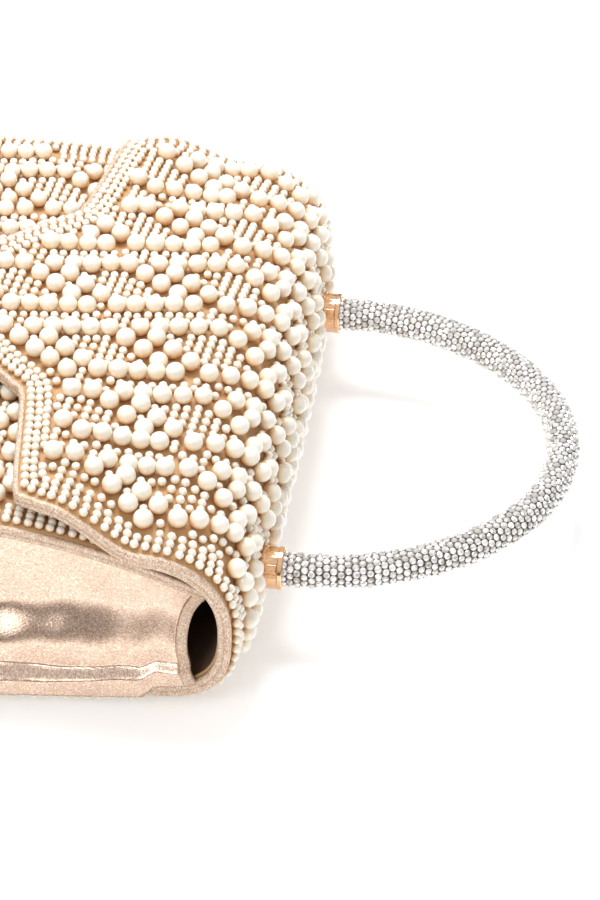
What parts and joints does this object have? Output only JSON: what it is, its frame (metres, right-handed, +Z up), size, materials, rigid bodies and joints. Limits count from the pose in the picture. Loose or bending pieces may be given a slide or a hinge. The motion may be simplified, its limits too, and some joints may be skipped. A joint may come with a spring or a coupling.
{
  "type": "evening bag",
  "caption": "Structured evening bag lying on its back: pearl-beaded flap wrapped over a rounded top, metallic gussets, and a rigid stone-covered arch handle in plated end caps.",
  "frame": {"origin": "on the surface the bag lies on, under the middle of the whole object", "axes": "+X across the bag, +Y from the base towards the handle, +Z up through the closed flap"},
  "size_m": [0.2356, 0.2244, 0.0779],
  "materials": {
    "pearl": "pearlescent ivory coating on imitation pearl beads",
    "base_fabric": "champagne woven satin under the beadwork",
    "card": "dense stiffening board, matt",
    "lining": "plain woven lining",
    "flap_lining": "satin facing under the flap",
    "binding": "metallic rose-gold binding strip",
    "lame": "metallic rose-gold foil fabric, satin shine",
    "gold": "polished rose-gold plating",
    "rhinestone": "clear cut stones in a silver mesh",
    "steel": "plain steel"
  },
  "bodies": {
    "bag": {"back_cover": "base_fabric", "back_board": "card", "back_beads": "pearl", "lining_back": "lining", "slip_pocket": "lining", "base_cover": "base_fabric", "base_board": "card", "base_beads": "pearl", "lining_base": "lining", "front_cover": "base_fabric", "front_board": "card", "front_beads": "pearl", "front_binding": "binding", "lining_front": "lining", "gusset_near": "lame", "gusset_far": "lame", "gusset_hem_near": "binding", "gusset_hem_far": "binding", "top_cover": "base_fabric", "top_board": "card", "top_beads": "pearl", "lining_top": "lining", "snap_socket": "gold", "snap_socket_washer": "steel", "handle_core": "steel", "stone_sleeve": "rhinestone", "end_cap_near": "gold", "end_cap_far": "gold", "cap_tongue_near": "gold", "cap_tongue_far": "gold", "handle_screw_near": "steel", "handle_screw_far": "steel", "handle_washer_near": "steel", "handle_washer_far": "steel"},
    "flap": {"flap_cover": "base_fabric", "flap_board": "card", "flap_beads": "pearl", "lining_flap": "flap_lining", "flap_binding": "binding", "snap_stud": "gold", "snap_stud_washer": "steel"}
  },
  "joints": [
    {"name": "flap_hinge", "type": "hinge", "parent": "bag", "child": "flap", "pos_m": [0, 0.02141, 0.06173], "axis": [-1, 0, 0], "range_deg": [0, 110]}
  ]
}
